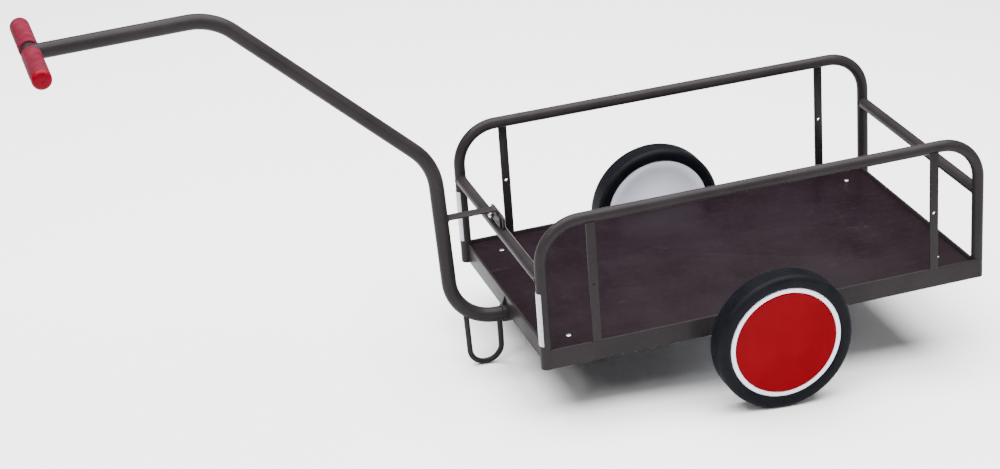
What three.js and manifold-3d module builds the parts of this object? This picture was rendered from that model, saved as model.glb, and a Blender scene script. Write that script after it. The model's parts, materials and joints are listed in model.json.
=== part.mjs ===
// Two-wheeled hand wagon with a bent tubular drawbar, in millimetres, +Z up.
// The chassis is laid out level, with its front posts at x = 0 and its middle plane at y = 0.
// The whole wagon then leans forward about its axle, until the stand loop and the tyres share the floor.
// The drawbar points to -X and the left side is -Y.
import * as THREE from 'three';
import { mergeVertices } from 'three/addons/utils/BufferGeometryUtils.js';
import Module from 'manifold-3d';

const wasm = await Module();
wasm.setup();

// Driving sizes. Heights are measured from the lower edge of the angle-iron frame.
const GAP = 0.3; // between pieces that touch
const POST_PITCH_X = 976; // front post axis to rear post axis
const POST_PITCH_Y = 558; // left post axis to right post axis
const TUBE_D = 25; // hoops and crossbars
const TUBE_WALL = 2;
const HOOP_H = 318; // axis of the hoop's top rail
const HOOP_BEND_R = 87;
const CROSSBAR_H = 199;
const RAIL_H = 43; // upright leg of the angle iron
const RAIL_LEG = 40; // flat leg
const RAIL_T = 5;
const FRONT_RAIL_SET = 1; // outer face of the front rail, behind the front post axis
const REAR_RAIL_SET = 8; // outer face of the rear rail, ahead of the rear post axis
const DECK_T = 12;
const DECK_RECESS = 8; // rim above the deck
const DECK_SIDE_CLEARANCE = 0.8;
const CROSS_MEMBER_W = 25;
const CROSS_MEMBER_WALL = 2;
const SCREW_INSET_X = 67; // from the post axis
const SCREW_INSET_Y = 53;
const SCREW_HEAD_R = 5.5;
const SCREW_SHANK_R = 2.5;
const SCREW_RIM = 0.8; // straight edge of the head, above its cone
const SCREW_SINK = 0.5;
const STANCHION_INSET = 107.5; // from the post axis to the upright's middle
const STANCHION_W = 19;
const STANCHION_T = 5;
const STANCHION_TOP_DROP = 6; // below the hoop's axis
const STANCHION_HOLE_H = 173;
const STANCHION_HOLE_R = 3.5;
const REFLECTOR_H = 119;
const REFLECTOR_FOOT = 54;
const REFLECTOR_W = 27; // measured round the post
const REFLECTOR_T = 0.8;
const AXLE_X = 484;
const AXLE_Z = -1;
const AXLE_D = 20;
const AXLE_BRACKET_W = 70;
const AXLE_BRACKET_T = 6;
const AXLE_BRACKET_DROP = 17; // below the axle's axis
const WHEEL_OUT = 84; // post axis to the wheel's middle plane
const WHEEL_R = 150;
const TYRE_W = 57;
const SHOULDER_R = 11; // rounding from tread to sidewall
const SIDEWALL_STEP = 4; // sidewall's sunk edge, next to the rim
const TREAD_GROOVE_W = 3;
const TREAD_GROOVE_DEPTH = 3;
const FLANGE_R = 123;
const RIM_W = 50;
const FLANGE_T = 5;
const BARREL_T = 6;
const BARREL_DROP = 2; // barrel, below the flange's root
const DISC_T = 4.5; // the wheel's dished disc
const DISC_AT_HUB = 8; // from the hub's inboard end
const DISC_AT_RIM = 5; // from the rim's inboard face
const DISC_LIP = 10; // flat border of the disc, at the barrel
const HUB_FILLET = 2;
const CAP_R = 112;
const CAP_T = 4.3;
const CAP_PROUD = 0.8;
const BUSH_R = 16;
const HUB_R = 24;
const HUB_IN = 29; // hub's inboard end, from the wheel's middle plane
const HUB_OUT = 9;
const WASHER_T = 2;
const WASHER_RIM = 4; // washer past the spacer, all round
const AXLE_PROUD = 5; // axle's end, past the outer washer
const CLIP_RIM = 4; // clip past the axle, all round
const CLIP_DOME = 2;
const SPACER_R = 14;
const DRAWBAR_D = 31.8;
const DRAWBAR_WALL = 2.5;
const DRAWBAR_Z = -1.3; // axis of the stretch in the socket
const DRAWBAR_TIP_IN = 3; // tube's end, inside the socket's back end
const DRAWBAR_LOWER = { x: -115.6, r: 101 };
const DRAWBAR_MIDDLE = { x: -129.7, z: 371.7, r: 131 };
const DRAWBAR_UPPER = { x: -547.7, z: 767.2, r: 125 };
const HANDLE = { x: -905, z: 759.7 };
const T_BAR_D = 30;
const T_BAR_WALL = 2;
const GRIP_D = 40;
const GRIP_LENGTH = 151;
const GRIP_ROUND = 9; // rounding of a grip's end
const GRIP_CHAMFER = 1.5;
const GRIP_CLEARANCE = 1; // grip's mouth to the drawbar's side
const GRIP_WALL_END = 6;
const SOCKET_WALL = 3.5;
const SOCKET_CLEARANCE = 0.5;
const SOCKET_FRONT = -8;
const SOCKET_TO_MEMBER = 2; // socket's back end to the first cross member
const CLAMP_D = 5;
const CLAMP_HEAD_D = 8;
const CLAMP_HEAD_T = 4;
const GUSSET_T = 5;
const GUSSET_H = 20;
const LOOP_BAR_D = 12;
const LOOP_X = -49.5;
const LOOP_BEND_R = 35;
const LOOP_BEND_Z = -72.5;
const LOOP_SPLAY = 4; // the front leg's top, ahead of its foot
const LOOP_FRONT_EASE = 2; // the splayed corner's smaller bend
const BRACE_CLEARANCE = 1; // brace's foot to the crossbar
const BRACE_W = 25;
const BRACE_T = 4;
const BRACE_BEND_R = 8;
const FOOT_W = 62;
const FOOT_H = 30;
const LUG_W = 85;
const LUG_H = 28; // above the crossbar
const LUG_T = 5;
const LUG_CORNER_R = 9;
const STUD_D = 6;
const STUD_HEAD_OVER = 2; // head past the shank, all round
const STUD_HEAD_T = 4;
const STUD_RISE = 10; // above the crossbar
const STUD_Y = 20;
const STUD_LENGTH = 22;
const NUT_AF = 10;
const NUT_T = 5;

const WHEEL_SIDES = 40; // flats round the tyre, rim and cap
const HUB_SIDES = 24;
const TUBE_R = TUBE_D / 2;
const HALF_Y = POST_PITCH_Y / 2;
const DRAWBAR_R = DRAWBAR_D / 2;
const AXLE_R = AXLE_D / 2;
const WHEEL_Y = HALF_Y + WHEEL_OUT;
const DECK_TOP = RAIL_H - DECK_RECESS;
const SOCKET_BACK = SCREW_INSET_X - CROSS_MEMBER_W / 2 - SOCKET_TO_MEMBER;
const SIDES = { left: -1, right: 1 };
const ENDS = { front: 0, rear: POST_PITCH_X };

const FINISH = {
  steel: { color: 0x403c3c, roughness: 0.45, metalness: 0.3 },
  ply: { color: 0x44373e, roughness: 0.5, metalness: 0 },
  zinc: { color: 0xc8c8cc, roughness: 0.3, metalness: 0.9 },
  reflector: { color: 0xd8d4e4, roughness: 0.35, metalness: 0 },
  rubber: { color: 0x1c1e26, roughness: 0.7, metalness: 0 },
  rim: { color: 0xdcdcec, roughness: 0.4, metalness: 0 },
  cap: { color: 0xaa1c20, roughness: 0.35, metalness: 0 },
  grip: { color: 0xaf1428, roughness: 0.3, metalness: 0 },
  nylon: { color: 0xd0ccc0, roughness: 0.6, metalness: 0 },
};

const wagon = new THREE.Group();
const chassis = new THREE.Group();
wagon.add(chassis);

function addPiece(name, shape, finish) {
  const geometry = shape instanceof THREE.BufferGeometry ? shape : toGeometry(shape);
  const mesh = new THREE.Mesh(geometry, new THREE.MeshStandardMaterial(FINISH[finish]));
  mesh.name = name;
  chassis.add(mesh);
  return mesh;
}

function toSolid(geometry) {
  const bare = geometry.clone();
  bare.deleteAttribute('normal');
  bare.deleteAttribute('uv');
  const merged = mergeVertices(bare, 1e-4);
  return new wasm.Manifold(new wasm.Mesh({
    numProp: 3,
    vertProperties: Float32Array.from(merged.attributes.position.array),
    triVerts: Uint32Array.from(merged.index.array),
  }));
}

function toGeometry(solid) {
  const mesh = solid.getMesh();
  const geometry = new THREE.BufferGeometry();
  geometry.setAttribute('position', new THREE.BufferAttribute(Float32Array.from(mesh.vertProperties), 3));
  geometry.setIndex(new THREE.BufferAttribute(Uint32Array.from(mesh.triVerts), 1));
  geometry.computeVertexNormals();
  return geometry;
}

function cutAway(shape, tools) {
  const solid = shape instanceof THREE.BufferGeometry ? toSolid(shape) : shape;
  return tools.reduce((left, tool) => left.subtract(toSolid(tool)), solid);
}

function box(x0, x1, y0, y1, z0, z1) {
  const geometry = new THREE.BoxGeometry(x1 - x0, y1 - y0, z1 - z0);
  return geometry.translate((x0 + x1) / 2, (y0 + y1) / 2, (z0 + z1) / 2);
}

// A round bar from one point to another.
function rod(radius, from, to, sides = 24) {
  const length = from.distanceTo(to);
  const direction = to.clone().sub(from).normalize();
  const turn = new THREE.Quaternion().setFromUnitVectors(new THREE.Vector3(0, 1, 0), direction);
  const middle = from.clone().add(to).multiplyScalar(0.5);
  return new THREE.CylinderGeometry(radius, radius, length, sides)
    .applyQuaternion(turn)
    .translate(middle.x, middle.y, middle.z);
}

const point = (x, y, z) => new THREE.Vector3(x, y, z);

// A polyline that keeps its own points when it is extruded, so that straights stay one step long.
class BentPath extends THREE.Curve {
  constructor(points) {
    super();
    this.points = points;
  }

  getPoint(t) {
    const place = t * (this.points.length - 1);
    const index = Math.min(Math.floor(place), this.points.length - 2);
    return this.points[index].clone().lerp(this.points[index + 1], place - index);
  }

  getSpacedPoints() {
    return this.points;
  }

  getTangentAt(u) {
    const last = this.points.length - 1;
    const index = Math.round(u * last);
    const before = this.points[Math.max(index - 1, 0)];
    const here = this.points[index];
    const after = this.points[Math.min(index + 1, last)];
    const arriving = here.clone().sub(before).normalize();
    const leaving = after.clone().sub(here).normalize();
    return arriving.add(leaving).normalize();
  }
}

// Points of a route in the plane at y, whose inner corners {x, z, r} are rounded by arcs.
function bentRoute(corners, y, stepDegrees = 10) {
  const flat = corners.map((corner) => new THREE.Vector2(corner.x, corner.z));
  const route = [point(flat[0].x, y, flat[0].y)];
  for (let i = 1; i < flat.length - 1; i += 1) {
    const arriving = flat[i].clone().sub(flat[i - 1]).normalize();
    const leaving = flat[i + 1].clone().sub(flat[i]).normalize();
    const turn = Math.acos(THREE.MathUtils.clamp(arriving.dot(leaving), -1, 1));
    const start = flat[i].clone().addScaledVector(arriving, -corners[i].r * Math.tan(turn / 2));
    const inward = leaving.clone().addScaledVector(arriving, -arriving.dot(leaving)).normalize();
    const steps = Math.ceil(THREE.MathUtils.radToDeg(turn) / stepDegrees);
    for (let k = 0; k <= steps; k += 1) {
      const angle = (turn * k) / steps;
      const spot = start.clone()
        .addScaledVector(arriving, corners[i].r * Math.sin(angle))
        .addScaledVector(inward, corners[i].r * (1 - Math.cos(angle)));
      route.push(point(spot.x, y, spot.y));
    }
  }
  const end = flat[flat.length - 1];
  route.push(point(end.x, y, end.y));
  return route;
}

function ringShape(outer, inner, sides) {
  const shape = new THREE.Shape(circlePoints(outer, sides));
  if (inner > 0) {
    const boreSides = Math.ceil(sides * 0.6);
    shape.holes.push(new THREE.Path(circlePoints(inner, boreSides).reverse()));
  }
  return shape;
}

function circlePoints(radius, sides) {
  return Array.from({ length: sides }, (_, k) => {
    const angle = (2 * Math.PI * k) / sides;
    return new THREE.Vector2(radius * Math.cos(angle), radius * Math.sin(angle));
  });
}

// A tube along a route, open at both ends. A wall of 0 makes it solid.
function tube(route, outer, wall, sides = 14) {
  const inner = wall > 0 ? outer - wall : 0;
  return new THREE.ExtrudeGeometry(ringShape(outer, inner, sides), {
    extrudePath: new BentPath(route),
    steps: route.length - 1,
  });
}

// A flat plate: an outline in X and Z, spread across Y.
function plateAcrossY(shape, y0, y1, curveSegments = 6) {
  const depth = y1 - y0;
  return new THREE.ExtrudeGeometry(shape, { depth, bevelEnabled: false, curveSegments })
    .rotateX(Math.PI / 2)
    .translate(0, y1, 0);
}

// A flat plate: an outline in Y and Z, spread across X.
function plateAcrossX(shape, x0, x1, curveSegments = 6) {
  return new THREE.ExtrudeGeometry(shape, { depth: x1 - x0, bevelEnabled: false, curveSegments })
    .rotateX(Math.PI / 2)
    .rotateZ(Math.PI / 2)
    .translate(x0, 0, 0);
}

// A ring or disc about an axis along Y; outboard is +Y times side.
function turned(profile, side, x, y, z, segments = 48) {
  const points = profile.map(([radius, out]) => new THREE.Vector2(radius, out));
  const geometry = new THREE.LatheGeometry(points, segments);
  if (side < 0) {
    geometry.rotateX(Math.PI);
  }
  return geometry.translate(x, y, z);
}

function washerProfile(inner, outer, from, to) {
  return [[inner, from], [outer, from], [outer, to], [inner, to], [inner, from]];
}

// The four posts as fat rods, which cope the ends of what meets them.
function postCutters() {
  const cutters = [];
  for (const x of Object.values(ENDS)) {
    for (const side of Object.values(SIDES)) {
      const foot = point(x, side * HALF_Y, -RAIL_H);
      cutters.push(rod(TUBE_R + GAP, foot, point(x, side * HALF_Y, HOOP_H - HOOP_BEND_R), 32));
    }
  }
  return cutters;
}

function addHoops() {
  const corners = [
    { x: 0, z: 0 },
    { x: 0, z: HOOP_H, r: HOOP_BEND_R },
    { x: POST_PITCH_X, z: HOOP_H, r: HOOP_BEND_R },
    { x: POST_PITCH_X, z: 0 },
  ];
  for (const [sideName, side] of Object.entries(SIDES)) {
    addPiece(`side_hoop_${sideName}`, tube(bentRoute(corners, side * HALF_Y, 11), TUBE_R, TUBE_WALL), 'steel');
  }
}

function addCrossbars() {
  for (const [endName, x] of Object.entries(ENDS)) {
    const bar = tube([point(x, -HALF_Y, CROSSBAR_H), point(x, HALF_Y, CROSSBAR_H)], TUBE_R, TUBE_WALL);
    addPiece(`crossbar_${endName}`, cutAway(bar, postCutters()), 'steel');
  }
}

function addStanchions() {
  const half = STANCHION_W / 2;
  for (const [endName, x] of Object.entries(ENDS)) {
    const middle = x === 0 ? STANCHION_INSET : x - STANCHION_INSET;
    for (const [sideName, side] of Object.entries(SIDES)) {
      const outer = HALF_Y + TUBE_R;
      const [y0, y1] = [side * outer, side * (outer - STANCHION_T)].sort((a, b) => a - b);
      const bar = box(middle - half, middle + half, y0, y1, RAIL_H + GAP, HOOP_H - STANCHION_TOP_DROP);
      const top = rod(TUBE_R + GAP, point(0, side * HALF_Y, HOOP_H), point(POST_PITCH_X, side * HALF_Y, HOOP_H), 32);
      const hole = rod(
        STANCHION_HOLE_R,
        point(middle, y0 - STANCHION_T, STANCHION_HOLE_H),
        point(middle, y1 + STANCHION_T, STANCHION_HOLE_H),
        16,
      );
      addPiece(`stanchion_${endName}_${sideName}`, cutAway(bar, [top, hole]), 'steel');
    }
  }
}

// Angle iron in the plane across its length: upright leg at 0, flat leg inward.
function angleShape() {
  return new THREE.Shape([
    new THREE.Vector2(0, 0),
    new THREE.Vector2(RAIL_LEG, 0),
    new THREE.Vector2(RAIL_LEG, RAIL_T),
    new THREE.Vector2(RAIL_T, RAIL_T),
    new THREE.Vector2(RAIL_T, RAIL_H),
    new THREE.Vector2(0, RAIL_H),
  ]);
}

function axleNotch(side) {
  const radius = AXLE_R + GAP;
  const [y0, y1] = [side * (HALF_Y - RAIL_LEG), side * (HALF_Y + RAIL_LEG)].sort((a, b) => a - b);
  const round = rod(radius, point(AXLE_X, y0, AXLE_Z), point(AXLE_X, y1, AXLE_Z), 32);
  return [round, box(AXLE_X - radius, AXLE_X + radius, y0, y1, AXLE_Z - RAIL_H, AXLE_Z)];
}

// The flat legs of the side rails stop at the upright legs of the end rails.
function flatLegTrims(side) {
  const upright = side * (HALF_Y + TUBE_R - RAIL_T);
  const [y0, y1] = [upright, side * (HALF_Y - RAIL_LEG)].sort((a, b) => a - b);
  const front = FRONT_RAIL_SET + RAIL_T + GAP;
  const rear = POST_PITCH_X - REAR_RAIL_SET - RAIL_T - GAP;
  return [
    box(-RAIL_LEG, front, y0, y1, -RAIL_T, RAIL_T + 1),
    box(rear, POST_PITCH_X + RAIL_LEG, y0, y1, -RAIL_T, RAIL_T + 1),
  ];
}

function addSideRails() {
  for (const [sideName, side] of Object.entries(SIDES)) {
    const angle = new THREE.ExtrudeGeometry(angleShape(), { depth: POST_PITCH_X, bevelEnabled: false });
    angle.applyMatrix4(new THREE.Matrix4().makeBasis(point(0, 1, 0), point(0, 0, 1), point(1, 0, 0)));
    angle.translate(0, -HALF_Y - TUBE_R, 0);
    if (side > 0) {
      angle.rotateZ(Math.PI).translate(POST_PITCH_X, 0, 0);
    }
    addPiece(`rail_${sideName}`, cutAway(angle, [...postCutters(), ...axleNotch(side), ...flatLegTrims(side)]), 'steel');
  }
}

function addEndRails() {
  const legEnd = HALF_Y + TUBE_R - RAIL_LEG - GAP;
  const faces = { front: FRONT_RAIL_SET, rear: POST_PITCH_X - REAR_RAIL_SET };
  for (const [endName, face] of Object.entries(faces)) {
    const inward = endName === 'front' ? 1 : -1;
    const angle = new THREE.ExtrudeGeometry(angleShape(), { depth: POST_PITCH_Y, bevelEnabled: false });
    angle.applyMatrix4(new THREE.Matrix4().makeBasis(point(1, 0, 0), point(0, 0, 1), point(0, -1, 0)));
    angle.translate(0, HALF_Y, 0);
    if (inward < 0) {
      angle.rotateZ(Math.PI);
    }
    angle.translate(face, 0, 0);
    const [leg0, leg1] = [face + inward * RAIL_T, face + inward * (RAIL_LEG + 1)].sort((a, b) => a - b);
    const trims = Object.values(SIDES).map((side) => {
      const [y0, y1] = [side * legEnd, side * (HALF_Y + 1)].sort((a, b) => a - b);
      return box(leg0, leg1, y0, y1, -1, RAIL_T + 1);
    });
    const socket = rod(socketRadius() + GAP, point(-RAIL_LEG, 0, DRAWBAR_Z), point(SOCKET_BACK, 0, DRAWBAR_Z), 32);
    const tools = [...postCutters(), ...trims];
    if (inward > 0) {
      tools.push(socket);
    }
    addPiece(`rail_${endName}`, cutAway(angle, tools), 'steel');
  }
}

function crossMemberPlaces() {
  const middleOffset = (AXLE_X - SCREW_INSET_X) / 3;
  return [
    SCREW_INSET_X,
    AXLE_X - middleOffset,
    AXLE_X + middleOffset,
    POST_PITCH_X - SCREW_INSET_X,
  ];
}

function addCrossMembers() {
  const bottom = RAIL_T + GAP;
  const height = DECK_TOP - DECK_T - RAIL_T - 2 * GAP;
  const reach = HALF_Y + TUBE_R - RAIL_T - GAP;
  crossMemberPlaces().forEach((x, index) => {
    const half = CROSS_MEMBER_W / 2;
    const outer = box(x - half, x + half, -reach, reach, bottom, bottom + height);
    const wall = CROSS_MEMBER_WALL;
    const bore = box(
      x - half + wall,
      x + half - wall,
      -reach - 1,
      reach + 1,
      bottom + wall,
      bottom + height - wall,
    );
    const screws = screwPlaces()
      .filter(([screwX]) => screwX === x)
      .map(([screwX, y]) => rod(SCREW_SHANK_R + GAP, point(screwX, y, 0), point(screwX, y, DECK_TOP), 12));
    addPiece(`cross_member_${index + 1}`, cutAway(outer, [bore, ...screws]), 'steel');
  });
}

function screwPlaces() {
  const places = [];
  for (const x of [SCREW_INSET_X, POST_PITCH_X - SCREW_INSET_X]) {
    for (const side of Object.values(SIDES)) {
      places.push([x, side * (HALF_Y - SCREW_INSET_Y)]);
    }
  }
  return places;
}

// A flat head, then its cone, then the shank, down the screw's axis.
function screwProfile(play) {
  const head = SCREW_HEAD_R + play;
  const shank = SCREW_SHANK_R + play;
  const coneDepth = SCREW_HEAD_R - SCREW_SHANK_R;
  const length = DECK_TOP - RAIL_T - GAP;
  return [[0, -length], [shank, -length], [shank, -coneDepth - play], [head, -play], [head, SCREW_RIM], [0, SCREW_RIM]];
}

function addDeck() {
  const front = FRONT_RAIL_SET + RAIL_T + DECK_SIDE_CLEARANCE;
  const rear = POST_PITCH_X - REAR_RAIL_SET - RAIL_T - DECK_SIDE_CLEARANCE;
  const half = HALF_Y + TUBE_R - RAIL_T - DECK_SIDE_CLEARANCE;
  const board = box(front, rear, -half, half, DECK_TOP - DECK_T, DECK_TOP);
  const corners = [];
  for (const x of Object.values(ENDS)) {
    for (const side of Object.values(SIDES)) {
      const foot = point(x, side * HALF_Y, 0);
      corners.push(rod(TUBE_R + 2 * DECK_SIDE_CLEARANCE, foot, point(x, side * HALF_Y, RAIL_H), 32));
    }
  }
  const screwCuts = screwPlaces().map(([x, y]) => uprightTurned(screwProfile(GAP), x, y, DECK_TOP));
  addPiece('deck', cutAway(board, [...corners, ...screwCuts]), 'ply');
  screwPlaces().forEach(([x, y], index) => {
    const solid = toSolid(uprightTurned(screwProfile(0), x, y, DECK_TOP - SCREW_SINK));
    addPiece(`deck_screw_${index + 1}`, solid, 'zinc');
  });
}

function uprightTurned(profile, x, y, z, segments = 14) {
  const points = profile.map(([radius, up]) => new THREE.Vector2(radius, up));
  return new THREE.LatheGeometry(points, segments).rotateX(Math.PI / 2).translate(x, y, z);
}

function addReflectors() {
  const inner = TUBE_R + GAP;
  const outer = inner + REFLECTOR_T;
  const half = REFLECTOR_W / 2 / inner;
  const shape = new THREE.Shape();
  shape.absarc(0, 0, outer, Math.PI - half, Math.PI + half, false);
  shape.absarc(0, 0, inner, Math.PI + half, Math.PI - half, true);
  for (const [sideName, side] of Object.entries(SIDES)) {
    const strip = new THREE.ExtrudeGeometry(shape, { depth: REFLECTOR_H, bevelEnabled: false, curveSegments: 10 });
    addPiece(`reflector_${sideName}`, strip.translate(0, side * HALF_Y, REFLECTOR_FOOT), 'reflector');
  }
}

function socketRadius() {
  return DRAWBAR_R + SOCKET_CLEARANCE + SOCKET_WALL;
}

function addSocket() {
  const route = [point(SOCKET_FRONT, 0, DRAWBAR_Z), point(SOCKET_BACK, 0, DRAWBAR_Z)];
  const screwX = (SOCKET_FRONT + FRONT_RAIL_SET) / 2 - GAP;
  const screwR = CLAMP_D / 2;
  const sleeve = tube(route, socketRadius(), SOCKET_WALL, 32);
  const hole = rod(screwR + GAP, point(screwX, -socketRadius() - CLAMP_D, DRAWBAR_Z), point(screwX, 0, DRAWBAR_Z), 12);
  addPiece('drawbar_socket', cutAway(sleeve, [hole]), 'steel');
  const headTop = socketRadius() + CLAMP_HEAD_T;
  const headFoot = socketRadius() + GAP;
  const headR = CLAMP_HEAD_D / 2;
  const tip = DRAWBAR_R + GAP;
  const profile = [[0, tip], [screwR, tip], [screwR, headFoot], [headR, headFoot], [headR, headTop], [0, headTop]];
  addPiece('clamp_screw', turned(profile, -1, screwX, 0, DRAWBAR_Z, 16), 'zinc');
  const top = DRAWBAR_Z + socketRadius();
  const gusset = new THREE.Shape([
    new THREE.Vector2(SOCKET_FRONT + 1, top + GAP),
    new THREE.Vector2(FRONT_RAIL_SET - GAP, top + GAP),
    new THREE.Vector2(FRONT_RAIL_SET - GAP, top + GUSSET_H),
  ]);
  addPiece('socket_gusset', plateAcrossY(gusset, -GUSSET_T / 2, GUSSET_T / 2), 'steel');
}

function addLug() {
  const foot = CROSSBAR_H + TUBE_R + GAP;
  const top = CROSSBAR_H + TUBE_R + LUG_H;
  const half = LUG_W / 2;
  const shape = new THREE.Shape();
  shape.moveTo(-half, foot);
  shape.lineTo(half, foot);
  shape.lineTo(half, top - LUG_CORNER_R);
  shape.absarc(half - LUG_CORNER_R, top - LUG_CORNER_R, LUG_CORNER_R, 0, Math.PI / 2, false);
  shape.absarc(-half + LUG_CORNER_R, top - LUG_CORNER_R, LUG_CORNER_R, Math.PI / 2, Math.PI, false);
  const holeR = STUD_D / 2 + GAP;
  for (const side of Object.values(SIDES)) {
    const hole = new THREE.Path();
    hole.absarc(side * STUD_Y, studHeight(), holeR, 0, 2 * Math.PI, true);
    shape.holes.push(hole);
  }
  addPiece('crossbar_lug', plateAcrossX(shape, -LUG_T / 2, LUG_T / 2), 'steel');
  const back = LUG_T / 2 + GAP;
  const tip = STUD_LENGTH - back - STUD_HEAD_T;
  const turnForward = new THREE.Matrix4().makeRotationZ(Math.PI / 2);
  const profile = [
    [0, -back - STUD_HEAD_T],
    [STUD_D / 2 + STUD_HEAD_OVER, -back - STUD_HEAD_T],
    [STUD_D / 2 + STUD_HEAD_OVER, -back],
    [STUD_D / 2, -back],
    [STUD_D / 2, tip],
    [0, tip],
  ];
  const stud = new THREE.LatheGeometry(profile.map(([r, a]) => new THREE.Vector2(r, a)), 16);
  stud.applyMatrix4(turnForward);
  addPiece('lug_stud', stud.translate(0, STUD_Y, studHeight()), 'zinc');
}

function studHeight() {
  return CROSSBAR_H + TUBE_R + STUD_RISE;
}

function drawbarRoute() {
  return bentRoute([
    { x: HANDLE.x, z: HANDLE.z },
    DRAWBAR_UPPER,
    DRAWBAR_MIDDLE,
    { x: DRAWBAR_LOWER.x, z: DRAWBAR_Z, r: DRAWBAR_LOWER.r },
    { x: SOCKET_BACK - DRAWBAR_TIP_IN, z: DRAWBAR_Z },
  ], 0, 11);
}

function addDrawbar() {
  const ends = [-DRAWBAR_D, DRAWBAR_D].map((y) => point(HANDLE.x, y, HANDLE.z));
  const handleTube = rod(T_BAR_D / 2 + GAP, ends[0], ends[1], 32);
  const bar = cutAway(tube(drawbarRoute(), DRAWBAR_R, DRAWBAR_WALL, 18), [handleTube]);
  addPiece('drawbar_tube', bar, 'steel');
  const reach = gripMouth() + GRIP_LENGTH - GRIP_WALL_END;
  const route = [point(HANDLE.x, -reach, HANDLE.z), point(HANDLE.x, reach, HANDLE.z)];
  addPiece('t_bar', tube(route, T_BAR_D / 2, T_BAR_WALL, 20), 'steel');
  for (const [sideName, side] of Object.entries(SIDES)) {
    addPiece(`grip_${sideName}`, turned(gripProfile(), side, HANDLE.x, 0, HANDLE.z, 24), 'grip');
  }
}

// Where a grip starts, from the middle of the T-bar.
function gripMouth() {
  return DRAWBAR_R + GRIP_CLEARANCE;
}

// A sleeve with a chamfered mouth and a rounded closed end.
function gripProfile() {
  const mouth = gripMouth();
  const end = mouth + GRIP_LENGTH;
  const radius = GRIP_D / 2;
  const bore = T_BAR_D / 2 + GAP;
  const bottom = end - GRIP_WALL_END + GAP;
  const round = GRIP_ROUND;
  const profile = [
    [0, bottom],
    [bore, bottom],
    [bore, mouth],
    [radius - GRIP_CHAMFER, mouth],
    [radius, mouth + GRIP_CHAMFER],
  ];
  for (let k = 0; k <= 4; k += 1) {
    const angle = (Math.PI / 2) * (k / 4);
    profile.push([radius - round + round * Math.cos(angle), end - round + round * Math.sin(angle)]);
  }
  profile.push([0, end]);
  return profile;
}

function addStandLoop() {
  const front = LOOP_X - LOOP_BEND_R;
  const rear = LOOP_X + LOOP_BEND_R;
  const low = LOOP_BEND_Z - LOOP_BEND_R;
  const route = bentRoute([
    { x: front - LOOP_SPLAY, z: DRAWBAR_LOWER.r / 4 },
    { x: front, z: low, r: LOOP_BEND_R - LOOP_FRONT_EASE },
    { x: rear, z: low, r: LOOP_BEND_R },
    { x: rear, z: DRAWBAR_Z },
  ], 0, 12);
  const bar = tube(route, LOOP_BAR_D / 2, 0, 14);
  const tool = tube(drawbarRoute(), DRAWBAR_R + GAP, 0, 20);
  const pieces = cutAway(bar, [tool]).decompose();
  pieces.sort((a, b) => b.volume() - a.volume());
  addPiece('stand_loop', pieces[0], 'steel');
}

function braceHeight() {
  return CROSSBAR_H + TUBE_R + BRACE_CLEARANCE + FOOT_H + BRACE_T / 2;
}

function addBrace() {
  const front = DRAWBAR_LOWER.x;
  const footX = -LUG_T / 2 - GAP;
  const centreX = footX - BRACE_T / 2;
  const strap = bentRoute([
    { x: front, z: braceHeight() },
    { x: centreX, z: braceHeight(), r: BRACE_BEND_R },
    { x: centreX, z: braceHeight() - BRACE_T / 2 - FOOT_H },
  ], 0, 15);
  const half = BRACE_T / 2;
  const outline = offsetOutline(strap, half);
  const flat = toSolid(plateAcrossY(outline, -BRACE_W / 2, BRACE_W / 2));
  const footTop = braceHeight() - BRACE_BEND_R - half;
  const footLow = braceHeight() - half - FOOT_H;
  const foot = toSolid(box(footX - BRACE_T, footX, -FOOT_W / 2, FOOT_W / 2, footLow, footTop));
  const holes = Object.values(SIDES).map((side) => {
    const y = side * STUD_Y;
    return rod(STUD_D / 2 + GAP, point(footX - 2 * BRACE_T, y, studHeight()), point(0, y, studHeight()), 16);
  });
  const bar = tube(drawbarRoute(), DRAWBAR_R + GAP, 0, 20);
  const ahead = box(front - DRAWBAR_D, front, -BRACE_W, BRACE_W, braceHeight() - BRACE_W, braceHeight() + BRACE_W);
  addPiece('brace', cutAway(flat.add(foot), [...holes, bar, ahead]), 'steel');
  const nutFoot = footX - BRACE_T - GAP;
  const nut = cutAway(
    new THREE.CylinderGeometry(NUT_AF / Math.sqrt(3), NUT_AF / Math.sqrt(3), NUT_T, 6)
      .rotateZ(Math.PI / 2)
      .translate(nutFoot - NUT_T / 2, STUD_Y, studHeight()),
    [rod(STUD_D / 2 + GAP, point(nutFoot - 2 * NUT_T, STUD_Y, studHeight()), point(0, STUD_Y, studHeight()), 16)],
  );
  addPiece('brace_nut', nut, 'zinc');
}

// The closed outline of a strip of even thickness that follows a route in X and Z.
function offsetOutline(route, half) {
  const path = new BentPath(route);
  const sides = [1, -1].map((sign) => route.map((spot, index) => {
    const along = path.getTangentAt(index / (route.length - 1));
    return new THREE.Vector2(spot.x - sign * half * along.z, spot.z + sign * half * along.x);
  }));
  return new THREE.Shape([...sides[0], ...sides[1].reverse()]);
}

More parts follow.
